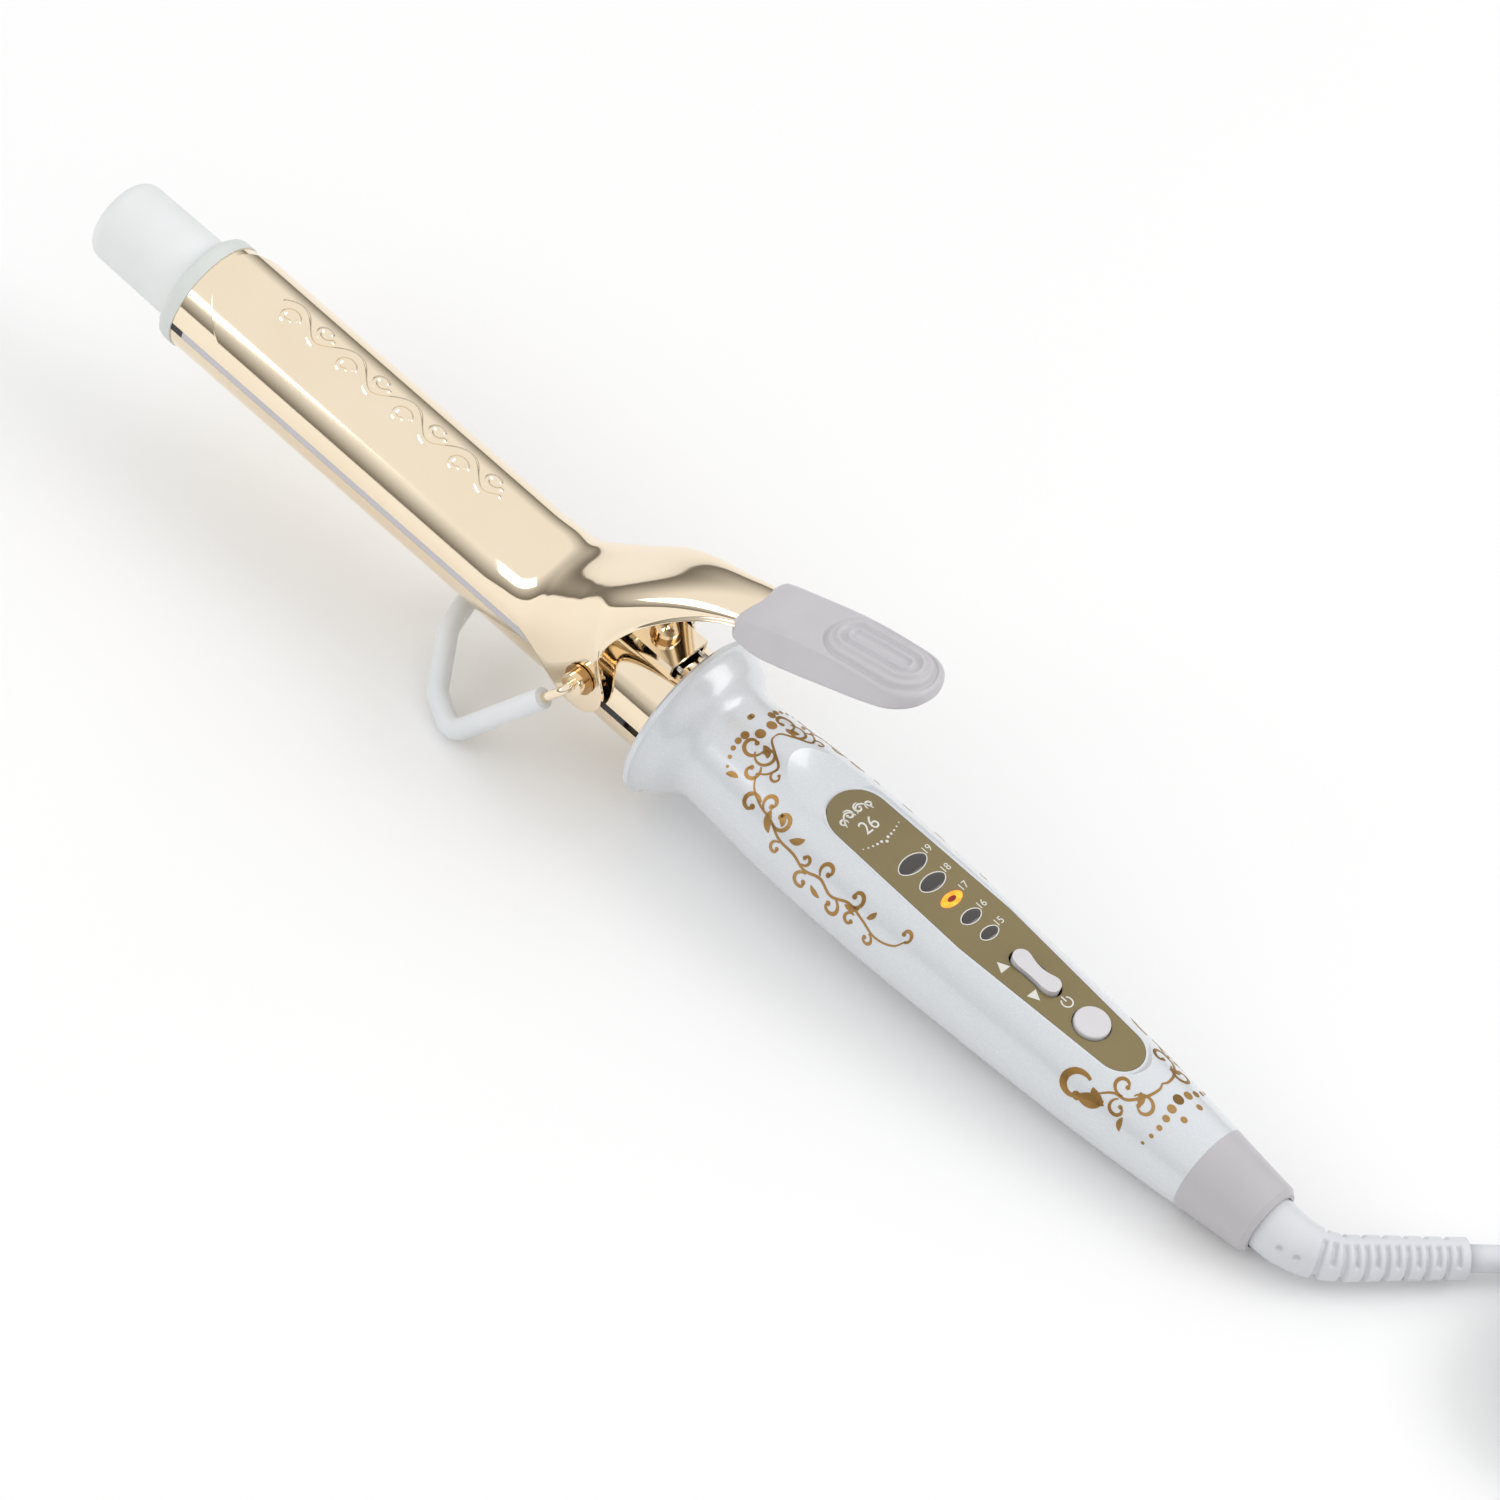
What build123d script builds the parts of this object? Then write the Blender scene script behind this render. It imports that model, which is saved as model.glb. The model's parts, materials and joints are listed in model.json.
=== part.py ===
from build123d import *
import math
import os

# Curling iron with a spring clamp, a wire stand, a push-button handle and a swivel cord.
# It is modelled in millimetres in its own frame: the barrel axis is X, pointing from the cool
# tip to the cord, Z points to the clamp side, and x = 0 is the clamp's pivot. place() then tips
# it onto the stand's feet and the handle's tail, and puts the origin at the bottom centre.

os.makedirs("parts", exist_ok=True)

# Driving dimensions
BARREL_R = 13.0                 # a 26 mm curling barrel
BARREL_WALL = 1.4
BARREL_FRONT = -121.2
BARREL_REAR = 26.0
SLOT_HALF = 1.0                 # half the gap between the barrel's two halves
TIP_FRONT = -150.0
TIP_R = 9.8
COLLAR_FRONT = -125.3
COLLAR_R = 13.3
CLAMP_GAP = 0.4                 # clamp plate over barrel
CLAMP_WALL = 0.8
CLAMP_FRONT = -119.5
CLAMP_NOSE = 15.5               # length of the clamp plate's rounded front
CLAMP_REAR = -6.0
CLAMP_HALF_ANGLE = 73.0
PIVOT_Z = 4.5
LOBE_R = 6.5
LOBE_Z = 1.5
LEVER_WIDTH = 11.0
LEVER_ROOT_HALF = 9.0
LEVER_WALL = 2.0
THUMB_FRONT = 24.8
THUMB_REAR = 70.0
THUMB_HALF = 8.0
STAND_WIRE_R = 1.0
SLEEVE_R = 2.375
FLANGE_FRONT = 18.6
FLANGE_R = 20.0
HANDLE_WALL = 2.2
HANDLE_REAR = 165.6
CAP_REAR = 183.0
CAP_R = 8.2
MOUTH_R = 6.55
PANEL_X = 57.0                  # where the panel begins
PANEL_Z = 12.2                  # its height there
PANEL_SLOPE = -0.0163
PANEL_WALL = 1.4
SCOOP_R = 28.0                  # the hollow that leads down to the panel's front
POWER_X = 129.8
ROCKER_X = 114.0
WAIST_R = 14.0                  # the hollows in the rocker's long sides
ROCKER_PIN = -2.3               # the rocker's trunnions, below the panel's face
RATING_WALL = 0.5
LAMPS = [(79.2, 7.8, 3.7), (84.9, 7.0, 3.4), (90.3, 6.2, 3.1), (95.8, 5.4, 2.8), (101.0, 4.8, 2.5)]
SCREW_XS = [44.0, 146.0]
SHAFT_R = 4.5                   # swivel hub in the tail cap
BOOT_R = 6.2
BOOT_BEND_X = 186.0
BOOT_BEND_R = 17.0
BOOT_TURN = 51.0
BOOT_TAIL = 25.0
CORD_R = 3.0
REST_TILT = 4.93                # degrees, tip up, when it stands on its feet and tail

# Cord in the resting frame: the free route after its first straight run, the hank's place, and
# the tail to the plug
CORD_START = 14.0
CORD_RUN = [(218.2, 46.2, 3.9), (232.2, 51.0, 3.0)]
HANK_CENTRE = (284.0, 27.0)
HANK_HALF = 42.0                # centre of the hank to the centre of each end loop
HANK_END_R = 27.0
HANK_WAIST = 28.0
HANK_HEIGHT = 18.0
TIE_WIDTH = 10.0
TIE_WALL = 1.3
CORD_TAIL = [(339.0, 50.5, 15.0), (353.0, 48.0, 12.5), (364.0, 38.0, 8.0), (368.0, 23.0, 4.2),
             (363.0, 8.0, 3.0), (351.0, -2.0, 3.0), (335.0, -5.8, 3.0), (318.0, -5.2, 4.0),
             (305.0, -4.0, 4.5)]
PLUG_LENGTH = 30.0
PLUG_WIDTH = 24.0
PLUG_HEIGHT = 15.0
BLADE = (17.0, 6.3, 1.5)
BLADE_PITCH = 12.7

nodes = {}
cord_nodes = {}


def rod(x0, x1, r, y=0.0, z=0.0):
    """Cylinder along X from x0 to x1."""
    return Pos((x0 + x1) / 2, y, z) * Rot(0, 90, 0) * Cylinder(r, x1 - x0)


def rod_y(y0, y1, r, x=0.0, z=0.0):
    """Cylinder along Y from y0 to y1."""
    return Pos(x, (y0 + y1) / 2, z) * Rot(90, 0, 0) * Cylinder(r, y1 - y0)


def rod_z(z0, z1, r, x=0.0, y=0.0):
    """Cylinder along Z from z0 to z1."""
    return Pos(x, y, (z0 + z1) / 2) * Cylinder(r, z1 - z0)


def block(x0, x1, y0, y1, z0, z1):
    """Box between two corners."""
    return Pos((x0 + x1) / 2, (y0 + y1) / 2, (z0 + z1) / 2) * Box(x1 - x0, y1 - y0, z1 - z0)


def mirrored(shape):
    """The shape and its twin on the other side of the XZ plane."""
    return [shape, mirror(shape, Plane.XZ)]


def turned(lines):
    """Solid of revolution about X from the lines of a closed outline (x, radius)."""
    return revolve(make_face([Plane.XZ * line for line in lines]), Axis.X)


def outline(points):
    """The lines of a closed outline through the points."""
    return [Polyline(*points, close=True)]


def as_one(shapes):
    return Compound(children=[s.solid() if len(s.solids()) == 1 else s for s in shapes])


def half(shape, sign):
    """Keep the part of a shape above (+1) or below (-1) the barrel's slot."""
    lo, hi = (SLOT_HALF, 30) if sign > 0 else (-30, -SLOT_HALF)
    return shape & block(-200, 200, -30, 30, lo, hi)


def panel_z(x):
    return PANEL_Z + PANEL_SLOPE * (x - PANEL_X)


def on_panel(x, y=0.0, lift=0.0):
    """A location on the panel's sloping plane, Z normal to it."""
    tilt = -math.degrees(math.atan(PANEL_SLOPE))
    return Pos(x, y, panel_z(x)) * Rot(0, tilt, 0) * Pos(0, 0, lift)


# Barrel and what is inside it
def barrel_half(sign):
    inner = BARREL_R - BARREL_WALL
    tube = rod(BARREL_FRONT, BARREL_REAR, BARREL_R) - rod(BARREL_FRONT - 1, BARREL_REAR + 1, inner)
    deck = block(-110, -12, -inner, inner, 1.9, 3.4) & rod(-112, 0, inner + 0.3)
    deck = deck if sign > 0 else mirror(deck, Plane.XY)
    shell = half(tube, sign) + deck
    if sign > 0:
        for hole in mirrored(rod_y(6, 20, 2.5, z=PIVOT_Z)):
            shell = shell - hole
        shell = shell - rod_z(5, 20, 1.4, x=7.5)
    return shell


def make_barrel():
    nodes["barrel_upper_shell"] = barrel_half(1)
    nodes["barrel_lower_shell"] = barrel_half(-1)
    inner = BARREL_R - BARREL_WALL
    ring = rod(BARREL_FRONT, 12, BARREL_R - 0.05) - rod(BARREL_FRONT - 1, 13, inner)
    side = ring & block(-200, 200, 5, 20, -SLOT_HALF, SLOT_HALF)
    strip = side & block(-118, 0, 5, 20, -2, 2)
    ends = [side & block(-130, -118, 5, 20, -2, 2), side & block(0, 30, 5, 20, -2, 2)]
    nodes["side_seal_strips"] = as_one(mirrored(strip))
    nodes["slot_end_spacers"] = as_one([m for e in ends for m in mirrored(e)])
    nodes["ptc_heater"] = as_one([block(x, x + 19, -6, 6, -1.2, 1.2) for x in (-100, -80, -60)])
    nodes["heater_electrodes"] = as_one([block(-100, -38, -6, 6, 1.2, 1.6),
                                         block(-100, -38, -6, 6, -1.6, -1.2)])
    nodes["insulation_film"] = block(-102, -41, -7, 7, -1.9, 1.9) - block(-103, -40, -6.4, 6.4, -1.6, 1.6)
    nodes["thermistor"] = rod(-34, -29, 1.2)
    nodes["thermal_fuse"] = rod(-26, -17, 1.8)
    bush = rod(-8, 40, 11.0) + rod(-8, 26, inner - 0.05)
    bush = bush - rod(-9, 41, 6.0)
    for hole in mirrored(rod_y(5, 9.5, 1.5, z=PIVOT_Z) + rod_y(9.5, 20, 2.5, z=PIVOT_Z)):
        bush = bush - hole
    nodes["barrel_mount_bush"] = bush - rod_z(5, 20, 1.4, x=7.5)


def make_tip():
    collar = turned(outline([(COLLAR_FRONT, 0), (COLLAR_FRONT, 12.0), (COLLAR_FRONT + 0.9, 13.0),
                             (COLLAR_FRONT + 1.8, COLLAR_R), (BARREL_FRONT, COLLAR_R),
                             (BARREL_FRONT, 11.55), (-113, 11.55), (-113, 0)]))
    nodes["tip_collar"] = collar - rod(-130, -100, 1.4)
    nose = 3.6
    rounding = TangentArc((TIP_FRONT, TIP_R - nose), (TIP_FRONT + nose, TIP_R), tangent=(0, 1))
    rest = Polyline((TIP_FRONT + nose, TIP_R), (COLLAR_FRONT, TIP_R + 0.25), (COLLAR_FRONT, 0),
                    (TIP_FRONT, 0), (TIP_FRONT, TIP_R - nose))
    nodes["cool_tip"] = turned([rounding, rest]) - rod(-138, -120, 1.4)
    nodes["tip_screw"] = rod(-138, -113, 1.4) + rod(-113, -111, 2.8)


# Clamp, lever and thumb rest
def lever_path():
    line = Spline((-27, 13.8), (-14, 17.0), (-6, 24.0), (8, 36.0), (20, 43.2), (37, 49.2),
                  tangents=[(1, 0.02), (1, 0.30)])
    return Plane.XZ * line


def lever_arm():
    """A strip that rises from the clamp plate's top, wide at its root and narrow at the rest."""
    path = lever_path()
    section = Plane(path @ 0, x_dir=(0, 1, 0), z_dir=path % 0) * Rectangle(2 * LEVER_ROOT_HALF, LEVER_WALL)
    half = LEVER_WIDTH / 2
    plan = make_face(outline([(-30, -LEVER_ROOT_HALF), (-12, -LEVER_ROOT_HALF), (6, -half), (60, -half),
                              (60, half), (6, half), (-12, LEVER_ROOT_HALF), (-30, LEVER_ROOT_HALF)]))
    return sweep(section, path=path) & extrude(plan, 80)


def clamp_shell():
    inner = BARREL_R + CLAMP_GAP
    tube = rod(CLAMP_FRONT, 0, inner + CLAMP_WALL) - rod(CLAMP_FRONT - 1, 1, inner)
    low = (inner + CLAMP_WALL) * math.cos(math.radians(CLAMP_HALF_ANGLE))
    plan = Pos(CLAMP_FRONT + CLAMP_NOSE, 0, 0) * Ellipse(CLAMP_NOSE, 13.7)
    plan += Pos((CLAMP_FRONT + CLAMP_NOSE + CLAMP_REAR) / 2, 0, 0) * Rectangle(
        CLAMP_REAR - CLAMP_FRONT - CLAMP_NOSE, 40)
    front = tube & block(-200, 200, -30, 30, low, 30) & extrude(plan, 30)
    cheek = tube & block(-24, CLAMP_REAR, -30, 30, 0, 30)
    return front + cheek


def ear():
    lobe = Plane.XZ * (Pos(0, LOBE_Z) * Circle(LOBE_R) - Pos(0, PIVOT_Z) * Circle(2.6))
    web = Plane.XZ * make_face(outline([(-22, 0.4), (-22, 5.0), (-8, 9.0), (4.0, 7.4), (-3, -3.8), (-8, -1.0)]))
    web = web - Plane.XZ * (Pos(0, PIVOT_Z) * Circle(2.6))
    inner = BARREL_R + CLAMP_GAP
    plate = extrude(lobe + web, -1.15)
    return Pos(0, inner + 0.05, 0) * plate


def make_clamp():
    arm = lever_arm()
    inner = BARREL_R + CLAMP_GAP
    plate = clamp_shell() + (arm - rod(-60, 60, inner))
    for side in mirrored(ear()):
        plate = plate + (side - rod(-60, 60, inner))
    nodes["clamp_plate"] = plate
    rest = Plane.XZ * make_face(outline([(THUMB_FRONT, 39.0), (THUMB_FRONT, 45.6), (45, 55.6),
                                         (67.5, 61.8), (THUMB_REAR, 59.6), (64, 53.6), (38, 40.6),
                                         (32, 38.2)]))
    rest = extrude(rest, THUMB_HALF, both=True)
    plan = Pos(THUMB_REAR - THUMB_HALF, 0) * Circle(THUMB_HALF)
    plan += Pos((THUMB_FRONT + THUMB_REAR - THUMB_HALF) / 2, 0) * Rectangle(
        THUMB_REAR - THUMB_HALF - THUMB_FRONT, 2 * THUMB_HALF)
    rest = rest & Pos(0, 0, 30) * extrude(plan, 40)
    nodes["thumb_rest"] = rest - arm


# Pivot hardware, spring and its bracket
def make_pivot():
    bush = rod_y(9.5, 15.0, 2.5, z=PIVOT_Z) - rod_y(9, 16, 1.5, z=PIVOT_Z)
    washer = rod_y(15.0, 15.6, 3.6, z=PIVOT_Z) - rod_y(14, 16, 1.5, z=PIVOT_Z)
    screw = rod_y(6.5, 15.6, 1.5, z=PIVOT_Z) + rod_y(15.6, 17.8, 2.6, z=PIVOT_Z)
    screw = screw - rod_y(16.2, 18, STAND_WIRE_R + 0.05, z=PIVOT_Z)
    nodes["pivot_bushes"] = as_one(mirrored(bush))
    nodes["pivot_washers"] = as_one(mirrored(washer))
    nodes["pivot_screws"] = as_one(mirrored(screw))


def make_bracket():
    body = block(0.5, 14.5, -5.65, 5.65, 10, 15.7) - block(-1, 16, -4.75, 4.75, 0, 14.8)
    body = body - rod(-5, 20, BARREL_R)
    nodes["spring_bracket"] = body - rod_z(10, 20, 1.5, x=7.5)
    nodes["bracket_washer"] = rod_z(15.7, 16.1, 3.3, x=7.5) - rod_z(15, 17, 1.5, x=7.5)
    screw = rod_z(8.0, 16.1, 1.4, x=7.5) + rod_z(16.1, 17.9, 2.7, x=7.5)
    cross = Box(3.4, 0.7, 2) + Box(0.7, 3.4, 2)
    nodes["bracket_screw"] = screw - Pos(7.5, 0, 17.9) * cross
    leg = 3.3
    path = Plane.XY.offset(13.9) * FilletPolyline((15.8, leg), (1.6, leg), (1.6, -leg), (15.8, -leg), radius=1.2)
    section = Plane(path @ 0, z_dir=path % 0) * Circle(0.6)
    nodes["clamp_spring"] = sweep(section, path=path)


# Wire stand
def stand_path():
    points = [(0, 16.2, PIVOT_Z), (0, 19.9, PIVOT_Z), (-18.4, 27.0, -23.6), (-27.0, 22.8, -22.0),
              (-35.6, 11.5, -17.8), (-38.6, 0, -15.75)]
    back = [(x, -y, z) for x, y, z in reversed(points[:-1])]
    return FilletPolyline(*points, *back, radius=[1.6, 4.5, 6.0, 9.0, 9.0, 9.0, 6.0, 4.5, 1.6])


def along(path, radius):
    return sweep(Plane(path @ 0, z_dir=path % 0) * Circle(radius), path=path)


def make_stand():
    path = stand_path()
    wire = along(path, STAND_WIRE_R)
    start = 9.6 / path.length
    covered = path.trim(start, 1 - start)
    nodes["stand_wire"] = wire
    nodes["stand_sleeve"] = along(covered, SLEEVE_R) - along(path, STAND_WIRE_R)


# Handle shells
def handle_body(inset=0.0):
    """The handle's outer form, made smaller all round by the inset."""
    rim, rear = FLANGE_R - inset, 10.0 - inset
    grip = [(30.8, 13.3), (36, 13.6), (47, 14.4), (70, 15.05), (90, 14.7), (112, 13.8),
            (133, 12.75), (155, 11.05), (HANDLE_REAR, 10.0)]
    profile = Spline(*[(x, r - inset) for x, r in grip])
    flare = Spline((20.6, rim - 0.6), (25.0, 16.6 - inset), (30.8, 13.3 - inset),
                   tangents=[(0.9, -1), (1, 0.03)])
    front = Polyline((HANDLE_REAR, rear), (HANDLE_REAR, 0), (FLANGE_FRONT, 0),
                     (FLANGE_FRONT, rim - 0.6), (FLANGE_FRONT + 0.6, rim), (20.2, rim),
                     (20.6, rim - 0.6))
    return turned([flare, profile, front])


def handle_cavity():
    """The space inside, with a flat roof below the scoop in front of the panel."""
    space = turned(outline([(10, 0), (10, BARREL_R + 0.05), (BARREL_REAR + 0.2, BARREL_R + 0.05),
                            (BARREL_REAR + 0.2, 11.05), (40, 11.4), (47, 12.2), (70, 12.8), (90, 12.5),
                            (112, 11.6), (133, 10.5), (155, 8.9), (170, 8.3), (170, 0)]))
    return space - block(40, 66, -20, 20, 10.0, 20)


def panel_plan(grow=0.0):
    shape = Pos(0, 0) * Circle(7.3 + grow)
    shape += Pos(35, 0) * Circle(8.0 + grow)
    shape += Pos(73, 0) * Circle(5.6 + grow)
    return make_hull(shape.edges())


def rating_area(grow=0.0):
    """A skin of the handle's underside, where the rating plate lies."""
    skin = handle_body() - handle_body(RATING_WALL)
    return skin & block(110 - grow, 140 + grow, -5 - grow, 5 + grow, -30, -5)


def make_handle():
    cavity = handle_cavity()
    hollow = handle_body() - cavity
    start = on_panel(PANEL_X + 7.5)
    pocket = start * Pos(0, 0, -PANEL_WALL) * extrude(panel_plan(0.1), 10)
    flare = start * extrude(panel_plan(0.6), 6, taper=-45)
    scoop = Pos(PANEL_X, 0, 11.5 + SCOOP_R) * Sphere(SCOOP_R)
    upper = hollow & block(0, 200, -40, 40, 0, 40)
    upper = upper - pocket - flare - scoop
    lower = hollow & block(0, 200, -40, 40, -40, 0)
    lower = lower - rating_area(0.05)
    for x in SCREW_XS:
        upper = upper + ((rod_z(0, 30, 3.0, x=x) - rod_z(-1, 31, 1.3, x=x)) & cavity)
        lower = lower + (rod_z(-30, 0, 3.6, x=x) & cavity)
        lower = lower - rod_z(-30, -6, 2.7, x=x) - rod_z(-31, 1, 1.3, x=x)
    nodes["handle_upper_shell"] = upper
    nodes["handle_lower_shell"] = lower
    nodes["handle_screws"] = as_one([rod_z(-8.0, -6, 2.6, x=x) + rod_z(-6, 7.0, 1.3, x=x)
                                     for x in SCREW_XS])
    nodes["rating_plate"] = rating_area()


def make_panel():
    start = on_panel(PANEL_X + 7.5)
    plate = start * Pos(0, 0, -PANEL_WALL) * extrude(panel_plan(), PANEL_WALL)
    windows = []
    for x, length, width in LAMPS:
        cut = on_panel(x, lift=-0.9) * extrude(Ellipse(width / 2, length / 2), 2.0)
        windows.append(on_panel(x, lift=-0.9) * extrude(Ellipse(width / 2, length / 2), 0.85))
        plate = plate - cut
        plate = plate - on_panel(x, lift=-3) * extrude(Ellipse(width / 2 - 0.4, length / 2 - 0.4), 3)
    rocker_hole = on_panel(ROCKER_X, lift=-4) * extrude(SlotOverall(13.6, 4.9), 8)
    plate = plate - rocker_hole - on_panel(POWER_X, lift=-4) * Pos(0, 0, 4) * Cylinder(4.3, 8)
    lug = block(-1.6, 1.6, 2.6, 3.4, ROCKER_PIN - 1.2, -PANEL_WALL / 2)
    lug = on_panel(ROCKER_X) * (lug - rod_y(2, 4, 0.75, z=ROCKER_PIN))
    for side in mirrored(lug):
        plate = plate + side
    nodes["display_panel"] = plate
    nodes["indicator_windows"] = as_one(windows)


def make_buttons():
    power = on_panel(POWER_X, lift=-0.4) * Cylinder(4.0, 2.8)
    power = power + on_panel(POWER_X, lift=-2.05) * Cylinder(4.6, 0.5)
    edge = power.edges().filter_by(GeomType.CIRCLE).sort_by(Axis.Z)[-1]
    nodes["power_button"] = fillet(edge, 0.5)
    rocker = on_panel(ROCKER_X, lift=-1.6) * extrude(SlotOverall(12.5, 4.2), 2.9)
    saddle = on_panel(ROCKER_X, lift=15.7) * Rot(90, 0, 0) * Cylinder(15.0, 10)
    for side in (-1, 1):
        rocker = rocker - on_panel(ROCKER_X, side * (WAIST_R + 1.7)) * Cylinder(WAIST_R, 8)
    pins = on_panel(ROCKER_X) * rod_y(-3.3, 3.3, 0.7, z=ROCKER_PIN)
    web = on_panel(ROCKER_X) * block(-1.4, 1.4, -1.6, 1.6, ROCKER_PIN - 0.7, -1.4)
    nodes["rocker_button"] = rocker - saddle + web + pins


def make_electronics():
    nodes["circuit_board"] = block(62, 140, -6.4, 6.4, 5.0, 6.4)
    leds = [block(x - 0.9, x + 0.9, -1.4, 1.4, 6.4, 7.6) for x, _, _ in LAMPS]
    nodes["indicator_leds"] = as_one(leds)
    nodes["tact_switches"] = as_one([block(x - 2, x + 2, -2, 2, 6.4, 7.5) + rod_z(7.5, 8.0, 1.0, x=x)
                                     for x in (ROCKER_X - 4, ROCKER_X + 4, POWER_X)])
    nodes["board_components"] = as_one([rod(66, 78, 4.2, z=0.6), block(82, 92, -5, 5, 1.0, 5.0),
                                        block(97, 105, -4, 4, 3.2, 5.0),
                                        rod_z(-1.0, 5.0, 3.2, x=114), rod_z(0.5, 5.0, 3.0, x=124)])


def wire(points, r, radius):
    path = FilletPolyline(*points, radius=radius)
    return along(path, r)


def make_wiring():
    feed = wire([(-37.5, 4.8, 0), (56, 4.8, 0), (62.2, 4.8, 4.15)], 0.8, 4)
    nodes["lead_wires"] = as_one(mirrored(feed))
    mains = wire([(154.9, 7.4, 0), (147, 6.2, 0), (137, 5.0, 0), (134.35, 5.0, 4.37)], 0.8, 2)
    nodes["mains_leads"] = as_one(mirrored(mains))
    nodes["swivel_contacts"] = as_one(mirrored(block(155, 159, 6.9, 8.1, -1.5, 1.5)))


# Tail cap, swivel and strain relief
def make_tail():
    cap = turned(outline([(160, 4.55), (160, 8.1), (HANDLE_REAR, 8.1), (HANDLE_REAR, 10.0),
                          (174, 9.1), (CAP_REAR - 1.2, CAP_R + 0.15), (CAP_REAR, CAP_R - 0.8),
                          (CAP_REAR, MOUTH_R), (172, MOUTH_R), (172, 4.55)]))
    nodes["tail_cap"] = cap
    hub = rod(157, 173, SHAFT_R) + rod(154, 159.5, 6.0) + rod(173, 180, 3.5)
    nodes["swivel_hub"] = hub - rod(150, 190, 1.6)
    bend = math.radians(BOOT_TURN)
    turn_end = (BOOT_BEND_X + BOOT_BEND_R * math.sin(bend), BOOT_BEND_R * (1 - math.cos(bend)))
    root = rod(173, BOOT_BEND_X, BOOT_R) - rod(172, 180, 3.5)
    elbow_path = CenterArc((BOOT_BEND_X, BOOT_BEND_R), BOOT_BEND_R, -90, BOOT_TURN)
    elbow_start = Plane((BOOT_BEND_X, 0, 0), x_dir=(0, 1, 0), z_dir=(1, 0, 0)) * Circle(BOOT_R)
    elbow = sweep(elbow_start, path=elbow_path)
    out = Plane((*turn_end, 0), x_dir=(0, 0, 1), z_dir=(math.cos(bend), math.sin(bend), 0))
    sleeve = out * (Pos(0, 0, BOOT_TAIL / 2) * Cone(5.0, 4.3, BOOT_TAIL))
    collar = out * (Pos(0, 0, 1.5) * Cone(BOOT_R, 5.0, 3.0))
    nodes["strain_relief"] = root + elbow + collar + sleeve
    return [out.origin + out.z_dir * reach for reach in (BOOT_TAIL, BOOT_TAIL + CORD_START)]


# Cord, hank, tie and plug, laid in the resting frame
def route_radii(points):
    """Largest tangent arc for each corner: 0.45 of the shorter run over tan(half the turn)."""
    radii = []
    for a, b, c in zip(points, points[1:], points[2:]):
        before, after = Vector(*b) - Vector(*a), Vector(*c) - Vector(*b)
        turn = math.radians(before.get_angle(after))
        radii.append(0.45 * min(before.length, after.length) / math.tan(turn / 2))
    return radii


def tube(points, name):
    radii = route_radii(points)
    print(name, "arc radii", [round(r, 1) for r in radii])
    path = FilletPolyline(*points, radius=radii)
    solid = along(path, CORD_R)
    print(name, "length", round(path.length, 1), "volume", round(solid.volume / (math.pi * CORD_R ** 2 * path.length), 4))
    return solid


def make_hank():
    plan = Pos(-HANK_HALF, 0) * Circle(HANK_END_R) + Pos(HANK_HALF, 0) * Circle(HANK_END_R)
    plan = plan + Rectangle(2 * HANK_HALF, HANK_WAIST)
    waist = plan.vertices().filter_by(lambda v: abs(v.X) < HANK_HALF)
    plan = fillet(waist, 16)
    hank = extrude(plan, HANK_HEIGHT)
    hank = hank - block(-TIE_WIDTH / 2 - 0.5, TIE_WIDTH / 2 + 0.5, -40, 40, -1, TIE_WALL + 0.05)
    at = Pos(HANK_CENTRE[0], HANK_CENTRE[1], 0)
    cord_nodes["cord_hank"] = at * hank
    outer = Plane.YZ * (Pos(0, (HANK_HEIGHT + TIE_WALL) / 2)
                        * RectangleRounded(HANK_WAIST + 2 * TIE_WALL + 0.2, HANK_HEIGHT + TIE_WALL, 3.0))
    hole = Plane.YZ * (Pos(0, (HANK_HEIGHT + TIE_WALL) / 2) * Rectangle(HANK_WAIST + 0.1, HANK_HEIGHT - TIE_WALL + 0.05))
    band = extrude(outer, TIE_WIDTH / 2, both=True) - extrude(hole, TIE_WIDTH, both=True)
    cord_nodes["hank_tie"] = at * (band - hank)


def make_plug():
    x1, y, z = CORD_TAIL[-1][0], CORD_TAIL[-1][1], PLUG_HEIGHT / 2
    body = block(x1 - PLUG_LENGTH, x1 - 8, y - PLUG_WIDTH / 2, y + PLUG_WIDTH / 2, 0, PLUG_HEIGHT)
    body = fillet(body.edges().filter_by(Axis.X), 4)
    nose = Plane((x1 - 8, y, z), x_dir=(0, 1, 0), z_dir=(1, 0, 0)) * RectangleRounded(18, 12, 4)
    tail = Plane((x1, y, CORD_R + 1.5), x_dir=(0, 1, 0), z_dir=(1, 0, 0)) * Circle(4.2)
    body = body + loft([nose.face(), tail.face()])
    front = x1 - PLUG_LENGTH
    length, width, wall = BLADE
    blades = []
    for side in (-1, 1):
        yc = y + side * BLADE_PITCH / 2
        blade = block(front - length, front, yc - wall / 2, yc + wall / 2, z - width / 2, z + width / 2)
        blades.append(blade - rod_y(yc - 2, yc + 2, 1.5, x=front - length + 4, z=z))
    cord_nodes["plug_body"] = body
    cord_nodes["plug_blades"] = as_one(blades)


def place():
    """Tip the iron onto its feet and tail, origin at the bottom centre; return the move."""
    tip = Rot(0, REST_TILT, 0)
    for name in nodes:
        nodes[name] = tip * nodes[name]
    boxes = [nodes[n].bounding_box() for n in nodes if n != "strain_relief"]
    low_x = min(b.min.X for b in boxes)
    high_x = max(b.max.X for b in boxes)
    low_z = min(b.min.Z for b in boxes)
    shift = Pos(-(low_x + high_x) / 2, 0, -low_z)
    for name in nodes:
        nodes[name] = shift * nodes[name]
    return shift * tip


def show(label, location, point):
    spot = (location * Pos(*point)).position
    print(label, [round(v / 1000, 6) for v in (spot.X, spot.Y, spot.Z)])


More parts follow.
